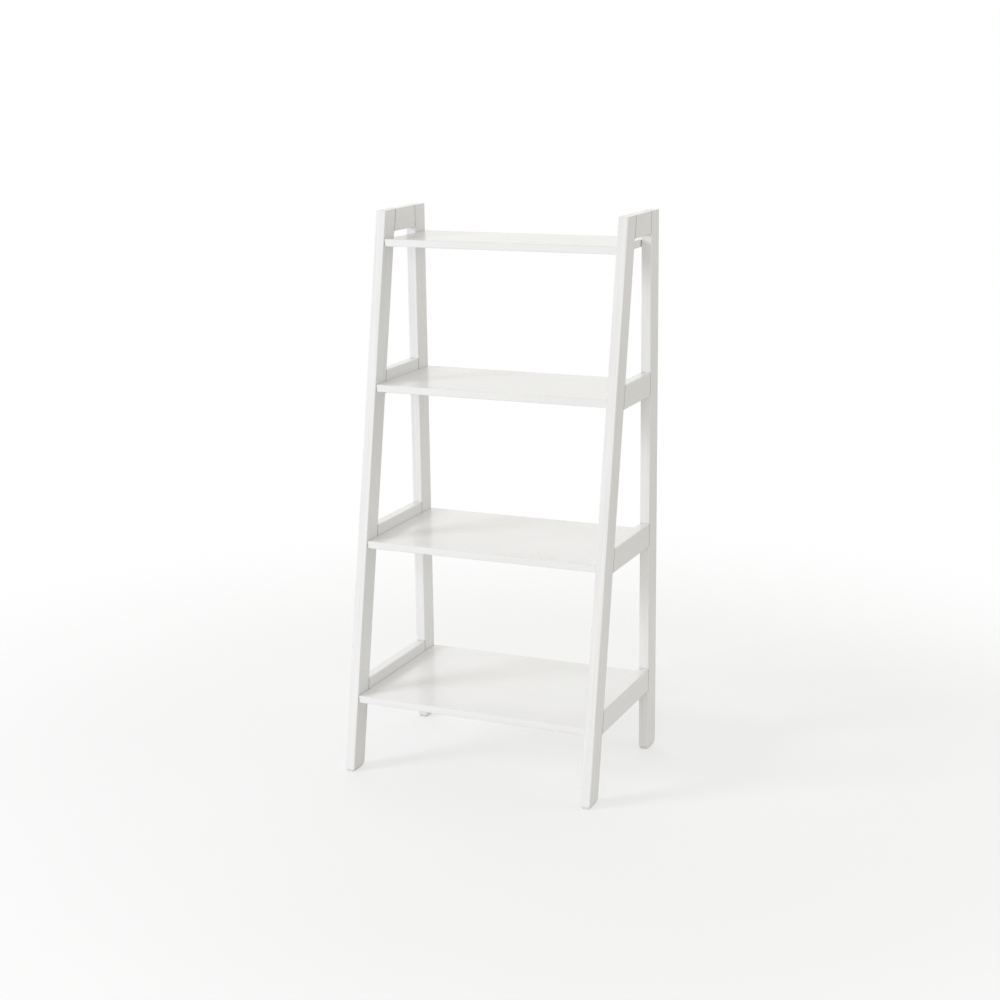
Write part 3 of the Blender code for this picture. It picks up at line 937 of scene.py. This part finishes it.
def white_lacquer(finish, rule, grain, streaks, lean=0.0):
    """Sprayed white lacquer over wood, whose grain runs along X, Y or Z, or Z with a lean.

    Fine orange peel and the faint telegraphing of the grain are in the bump. Broad clouds
    vary the roughness a little, and the colour is thinner along a few grain lines. Joints and
    holes show the unlacquered wood, and at the rail seams that grey wood is painted shade.
    """
    stretch = [GRAIN_ALONG if axis == grain else GRAIN_ACROSS for axis in "XYZ"]
    lines = finish.noise(finish.place(stretch, lean), detail=3.0, roughness=0.6)
    bands = finish.noise(finish.place([part * 1.4 for part in stretch], lean), detail=1.0)
    where = finish.place()
    peel = finish.noise(where, ORANGE_PEEL)
    clouds = finish.noise(where, CLOUDS)
    thin = (((bands - 0.5) * 3.0 + 0.5) * streaks + (clouds - 0.4) * 0.5).clamped()
    painted = finish.blend(thin, rule.lacquer, rule.lacquer_shade)
    # Unlacquered wood in holes and joints; at the rail seams this mix is painted shade
    bare_and_seam_shade = finish.node("ShaderNodeAttribute", output="Fac", attribute_name=BARE_AND_SEAM_SHADE)
    wood = finish.blend(lines, rule.bare_wood_and_seam_shade, rule.bare_grain)
    dimples = finish.bump(peel, 0.00002, 0.35)
    finish.shade(
        Base_Color=finish.blend(bare_and_seam_shade, painted, wood),
        Roughness=0.3 + clouds * 0.1 + lines * 0.04 + bare_and_seam_shade * 0.4,
        Coat_Weight=0.5 - bare_and_seam_shade * 0.5,
        Coat_Roughness=0.07,
        Specular_IOR_Level=0.5,
        Normal=finish.bump(lines, 0.00003, 0.3 + 0.4 * streaks, Normal=dimples),
    )


def beech(finish, rule):
    """Bare beech: pores drawn out along the dowel, and a slow change of tone."""
    pores = finish.noise(finish.place((60, 1400, 1400)), detail=3.0, roughness=0.6)
    tone = finish.noise(finish.place((20, 200, 200)), detail=1.0)
    mix = ((pores - 0.5) * 4.0).clamped() * 0.7 + tone * 0.25
    base = finish.blend(mix, rule.beech, rule.beech_pore)
    finish.shade(
        Base_Color=base, Roughness=0.55 + pores * 0.2, Normal=finish.bump(pores, 0.00005, 0.5)
    )


def cast_zinc(finish, rule):
    """Die-cast zinc: a satin skin with a fine grit and cloudy patches."""
    where = finish.place()
    grit = finish.noise(where, 5200.0, roughness=0.6)
    patches = finish.noise(where, 420.0)
    base = finish.blend(patches, rule.zinc, [part * 0.72 for part in rule.zinc])
    finish.shade(
        Base_Color=base,
        Roughness=0.32 + patches * 0.2,
        Metallic=1.0,
        Normal=finish.bump(grit, 0.00003, 0.4),
    )


def plated_steel(finish, rule):
    """Zinc-plated steel: bright, with turning marks round the axis."""
    marks = finish.noise(finish.place((9000, 200, 200)))
    base = finish.blend(marks, rule.steel, [part * 0.82 for part in rule.steel])
    finish.shade(
        Base_Color=base,
        Roughness=0.2 + marks * 0.18,
        Metallic=1.0,
        Normal=finish.bump(marks, 0.00001, 0.4),
    )


def moulded_plastic(finish, rule):
    """Matt white plastic with a fine spark-eroded texture and a few darker scuffs."""
    where = finish.place()
    texture = finish.noise(where, 3800.0, roughness=0.6)
    scuffs = finish.noise(where, 240.0, detail=3.0, roughness=0.6)
    worn = [part * 0.86 for part in rule.plastic]
    base = finish.blend(((scuffs - 0.5) * 3.0).clamped(), rule.plastic, worn)
    finish.shade(
        Base_Color=base, Roughness=0.42 + scuffs * 0.16, Normal=finish.bump(texture, 0.00003, 0.5)
    )


def studio_floor(finish, rule):
    """A pale matt floor that fades out into the white of the studio far from the shelf.

    With near going from 1 to 0 over its last metre, its cover is near * near * (3 - 2 * near).
    """
    where = finish.node("ShaderNodeTexCoord", output="Object")
    far = finish.node("ShaderNodeVectorMath", {0: where}, "Value", operation="LENGTH")
    mottle = finish.noise(where, 3.0, detail=3.0)
    base = finish.blend(mottle * 0.5, rule.floor, [0.98 * part for part in rule.floor])
    near = (FLOOR_REACH - far).clamped()
    finish.shade(
        Base_Color=base,
        Roughness=0.7,
        Alpha=near * near * (3 - 2 * near) * studio().floor_cover,
    )


def finish_named(name, make, *details):
    """A new material that a function fills with its nodes, from the colours and some details."""
    material = bpy.data.materials.new(name)
    make(Finish(material), colours(), *details)
    return material


# Stage


def add_floor():
    """A round floor just under the glides: points at radius * (cos a, sin a), ring by ring."""
    radius = np.array(FLOOR_RADII)[:, None]
    turn = np.linspace(0, math.tau, 64, endpoint=False)
    surface = Surface()
    rings = surface.add(
        points_at(radius * np.cos(turn), radius * np.sin(turn), CAD_LOW.z - FLOOR_GAP)
    )
    surface.join(rings)
    surface.cap(rings[0])
    name = "studio_floor"
    add_mesh(name, surface, finish_named(name, studio_floor))


def add_light(name, watts, size, position, tint=(1, 1, 1), mirrored=True):
    """A rectangular soft light that faces the shelf's middle, mirrored in the lacquer or not."""
    lamp = bpy.data.lights.new(name, "AREA")
    lamp.shape = "RECTANGLE"
    lamp.energy = watts
    lamp.color = tint
    lamp.size, lamp.size_y = size
    light = add_object(name, lamp)
    light.location = position
    light.visible_glossy = mirrored
    aim = (CAD_LOW + CAD_HIGH) / 2 - light.location
    light.rotation_euler = aim.to_track_quat("-Z", "Y").to_euler()


def add_surround():
    """White studio walls: dimmer as a source of light than they look behind the shelf."""
    rule = studio()
    world = bpy.data.worlds.new("studio")
    walls = Finish(world)
    straight = walls.node("ShaderNodeLightPath", output="Is Camera Ray")
    seen = walls.node("ShaderNodeBackground", {"Color": opaque((1, 1, 1))})
    dim = {"Color": opaque(rule.wall_tint), "Strength": rule.surround}
    lit = walls.node("ShaderNodeBackground", dim)
    mixed = walls.node("ShaderNodeMixShader", {0: straight, 1: lit, 2: seen})
    walls.node("ShaderNodeOutputWorld", {"Surface": mixed})
    bpy.context.scene.world = world


def add_camera():
    """The camera looks at the shelf's middle from its azimuth and elevation, then steps aside."""
    rule = studio()
    turn, tilt = rule.azimuth, rule.elevation
    forward = Vector(
        (-math.sin(turn) * math.cos(tilt), math.cos(turn) * math.cos(tilt), -math.sin(tilt))
    )
    level = Vector((math.cos(turn), math.sin(turn), 0))
    upright = level.cross(forward)
    right = level * math.cos(rule.roll) + upright * math.sin(rule.roll)
    up = right.cross(forward)
    middle = Vector((0, 0, (CAD_LOW.z + CAD_HIGH.z) / 2))
    lens = bpy.data.cameras.new("camera")
    lens.lens = rule.lens
    camera = add_object("camera", lens)
    position = middle - forward * rule.distance + right * rule.aside + up * rule.above
    facing = Matrix((right, up, -forward)).transposed().to_4x4()
    camera.matrix_world = Matrix.Translation(position) @ facing
    bpy.context.scene.camera = camera


# Operators


class LADDERSHELF_OT_legs(bpy.types.Operator):
    """Build the four legs, mortised for the rails"""

    bl_idname = "ladder_shelf.legs"
    bl_label = "Legs"

    def execute(self, context):
        lean = math.atan(front_of_leg(1.0) - front_of_leg(0.0))
        finishes = {
            "front": finish_named("lacquer_on_front_legs", white_lacquer, "Z", 0.5, lean),
            "rear": finish_named("lacquer_on_rear_legs", white_lacquer, "Z", 0.5),
        }
        for side in SIDES:
            for end, finish in finishes.items():
                node = f"{end}_leg_{side}"
                surface = leg_surface(end, side)
                make_piece(node, "lacquered", surface, finish)
        return {"FINISHED"}


class LADDERSHELF_OT_rails(bpy.types.Operator):
    """Build the top rails and side rails with their tenons"""

    bl_idname = "ladder_shelf.rails"
    bl_label = "Rails"

    def execute(self, context):
        finish = finish_named("lacquer_on_rails", white_lacquer, "Y", 0.25)
        for side in SIDES:
            for node in rail_names(side):
                surface = rail_surface(node, side)
                make_piece(node, "lacquered", surface, finish)
        return {"FINISHED"}


class LADDERSHELF_OT_boards(bpy.types.Operator):
    """Build the four boards, drilled for their fittings"""

    bl_idname = "ladder_shelf.boards"
    bl_label = "Boards"

    def execute(self, context):
        finish = finish_named("lacquer_on_boards", white_lacquer, "X", 0.15)
        for board in BOARDS:
            node = f"shelf_{board}"
            make_piece(node, "lacquered", board_surface(board), finish)
        return {"FINISHED"}


class LADDERSHELF_OT_cams(bpy.types.Operator):
    """Build the cam locks and cam bolts that hold the boards"""

    bl_idname = "ladder_shelf.cams"
    bl_label = "Cam fittings"

    def execute(self, context):
        zinc = finish_named("cast_zinc", cast_zinc)
        steel = finish_named("plated_steel", plated_steel)
        for board in BOARDS:
            for side in SIDES:
                for end in ENDS:
                    place = f"{board}_{end}_{side}"
                    lock, bolt = f"cam_lock_{place}", f"cam_bolt_{place}"
                    make_piece(lock, "cast", cam_lock_surface(lock, side), zinc)
                    make_piece(bolt, "turned", cam_bolt_surface(bolt, side), steel)
        return {"FINISHED"}


class LADDERSHELF_OT_dowels(bpy.types.Operator):
    """Build the fluted dowels between side rails and boards"""

    bl_idname = "ladder_shelf.dowels"
    bl_label = "Dowels"

    def execute(self, context):
        finish = finish_named("dowel_beech", beech)
        for board in RAILED_BOARDS:
            for side in SIDES:
                node = f"dowel_{board}_{side}"
                make_piece(node, "fluted", dowel_surface(node), finish)
        return {"FINISHED"}


class LADDERSHELF_OT_glides(bpy.types.Operator):
    """Build the plastic glides under the feet"""

    bl_idname = "ladder_shelf.glides"
    bl_label = "Glides"

    def execute(self, context):
        finish = finish_named("moulded_plastic", moulded_plastic)
        for side in SIDES:
            for end in ENDS:
                node = f"glide_{end}_{side}"
                make_piece(node, "moulded", glide_surface(node), finish)
        return {"FINISHED"}


class LADDERSHELF_OT_stage(bpy.types.Operator):
    """Lay the floor and set up the lights and the camera"""

    bl_idname = "ladder_shelf.stage"
    bl_label = "Stage"

    def execute(self, context):
        rule = studio()
        add_floor()
        add_surround()
        add_light("key_light", rule.key_power, (1.2, 1.2), (-2.8, -2.4, 1.8), rule.key_tint, False)
        add_light("fill_light", rule.fill_power, (2.2, 2.0), (0.7, -3.4, 1.25), mirrored=False)
        add_light("side_light", rule.side_power, (2.4, 2.4), (3.0, 1.0, 1.3))
        add_light("back_light", rule.back_power, (4.0, 2.6), (-0.9, 2.3, 1.4))
        add_camera()
        context.scene.view_settings.view_transform = "Standard"
        return {"FINISHED"}


class LADDERSHELF_PT_panel(bpy.types.Panel):
    """Sizes, colours and one button for each group of pieces"""

    bl_idname = "LADDERSHELF_PT_panel"
    bl_label = "Ladder Shelf"
    bl_space_type = "VIEW_3D"
    bl_region_type = "UI"
    bl_category = "Ladder Shelf"

    def draw(self, context):
        layout = self.layout
        for operator in OPERATORS:
            layout.operator(operator.bl_idname)
        for group in (sizes(), colours(), studio()):
            column = layout.column(align=True)
            for name in group.__annotations__:
                column.prop(group, name)


OPERATORS = (
    LADDERSHELF_OT_legs,
    LADDERSHELF_OT_rails,
    LADDERSHELF_OT_boards,
    LADDERSHELF_OT_cams,
    LADDERSHELF_OT_dowels,
    LADDERSHELF_OT_glides,
    LADDERSHELF_OT_stage,
)
GROUPS = {
    "ladder_shelf_sizes": LadderShelfSizes,
    "ladder_shelf_colours": LadderShelfColours,
    "ladder_shelf_studio": LadderShelfStudio,
}


def register():
    for group in (*GROUPS.values(), *OPERATORS, LADDERSHELF_PT_panel):
        bpy.utils.register_class(group)
    for name, group in GROUPS.items():
        setattr(bpy.types.Scene, name, PointerProperty(type=group))


def unregister():
    for name in GROUPS:
        delattr(bpy.types.Scene, name)
    for group in (LADDERSHELF_PT_panel, *reversed(OPERATORS), *reversed(GROUPS.values())):
        bpy.utils.unregister_class(group)


def main():
    register()
    for operator in OPERATORS:
        family, action = operator.bl_idname.split(".")
        getattr(getattr(bpy.ops, family), action)()


if __name__ == "__main__":
    main()
